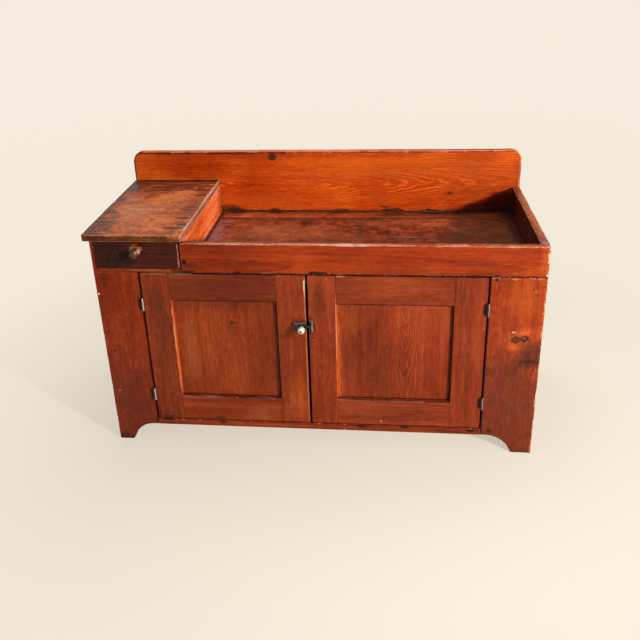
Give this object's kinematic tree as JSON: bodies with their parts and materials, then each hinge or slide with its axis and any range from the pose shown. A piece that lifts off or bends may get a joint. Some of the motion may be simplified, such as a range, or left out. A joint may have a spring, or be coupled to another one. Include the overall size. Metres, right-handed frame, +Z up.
{
  "type": "dry sink cabinet",
  "caption": "Low pine cupboard with panelled doors under an open well, a lidded till with a drawer at one end, a deep front apron and a tall back board.",
  "frame": {"origin": "on the floor, below the middle of the bounding box", "axes": "+X to the cabinet's right as seen from the front, +Y to its back, +Z up"},
  "size_m": [1.433, 0.6194, 0.88],
  "materials": {
    "pine_case": "old red-orange shellac, worn",
    "pine_splash": "bright orange shellac",
    "pine_door": "dark red-brown shellac",
    "pine_lid": "scrubbed tan-brown, worn",
    "pine_floor": "stained and worn",
    "pine_drawer": "very dark brown",
    "pine_bare": "unfinished, aged",
    "knob_wood": "turned hardwood, worn",
    "iron": "dark, slightly rusted",
    "nail_iron": "rusted",
    "porcelain": "glossy off-white glaze"
  },
  "bodies": {
    "cabinet": {"back_nails": "nail_iron", "bottom_board": "pine_case", "bottom_cleats": "pine_bare", "case_hinge_screws": "iron", "face_nails": "nail_iron", "front_apron": "pine_case", "hinge_pins": "iron", "inner_shelf": "pine_bare", "left_face_stile": "pine_case", "left_lower_hinge_fixed_leaf": "iron", "left_side_board": "pine_case", "left_upper_hinge_fixed_leaf": "iron", "lower_back_board": "pine_bare", "right_face_stile": "pine_case", "right_lower_hinge_fixed_leaf": "iron", "right_side_board": "pine_case", "right_upper_hinge_fixed_leaf": "iron", "shelf_cleats": "pine_bare", "splash_board": "pine_splash", "till_floor": "pine_case", "till_side_board": "pine_case", "till_top": "pine_lid", "till_top_nails": "nail_iron", "upper_back_board": "pine_bare", "well_floor_front_board": "pine_floor", "well_floor_front_cleat": "pine_bare", "well_floor_rear_board": "pine_floor", "well_floor_side_cleats": "pine_bare"},
    "left_door": {"latch_case": "iron", "latch_case_screws": "iron", "left_door_bottom_rail": "pine_door", "left_door_hinge_screws": "iron", "left_door_hinge_stile": "pine_door", "left_door_latch_stile": "pine_door", "left_door_panel": "pine_door", "left_door_top_rail": "pine_door", "left_lower_hinge_moving_leaf": "iron", "left_upper_hinge_moving_leaf": "iron"},
    "right_door": {"keeper_screws": "iron", "latch_keeper": "iron", "right_door_bottom_rail": "pine_door", "right_door_hinge_screws": "iron", "right_door_hinge_stile": "pine_door", "right_door_latch_stile": "pine_door", "right_door_panel": "pine_door", "right_door_top_rail": "pine_door", "right_lower_hinge_moving_leaf": "iron", "right_upper_hinge_moving_leaf": "iron"},
    "drawer": {"drawer_back": "pine_bare", "drawer_bottom": "pine_bare", "drawer_front": "pine_drawer", "drawer_knob": "knob_wood", "drawer_left_side": "pine_bare", "drawer_right_side": "pine_bare"},
    "latch_knob_and_spindle": {"latch_knob": "porcelain", "latch_knob_screw": "iron", "latch_spindle": "iron"},
    "bolt": {"latch_bolt": "iron"}
  },
  "joints": [
    {"name": "left_door_hinge", "type": "hinge", "parent": "cabinet", "child": "left_door", "pos_m": [-0.5365, -0.27165, 0.366], "axis": [0, 0, -1], "range_deg": [0, 170]},
    {"name": "right_door_hinge", "type": "hinge", "parent": "cabinet", "child": "right_door", "pos_m": [0.5475, -0.27165, 0.366], "axis": [0, 0, 1], "range_deg": [0, 170]},
    {"name": "drawer_slide", "type": "slide", "parent": "cabinet", "child": "drawer", "axis": [0, -1, 0], "range_m": [0, 0.38]},
    {"name": "latch_turn", "type": "hinge", "parent": "left_door", "child": "latch_knob_and_spindle", "pos_m": [-0.0255, -0.28735, 0.463], "axis": [0, -1, 0], "range_deg": [0, 60]},
    {"name": "bolt_slide", "type": "slide", "parent": "left_door", "child": "bolt", "axis": [1, 0, 0], "range_m": [0, 0.007]}
  ],
  "couplings": [
    {"joint": "bolt_slide", "follows": "latch_turn", "m_per_rad": 0.0066845}
  ]
}
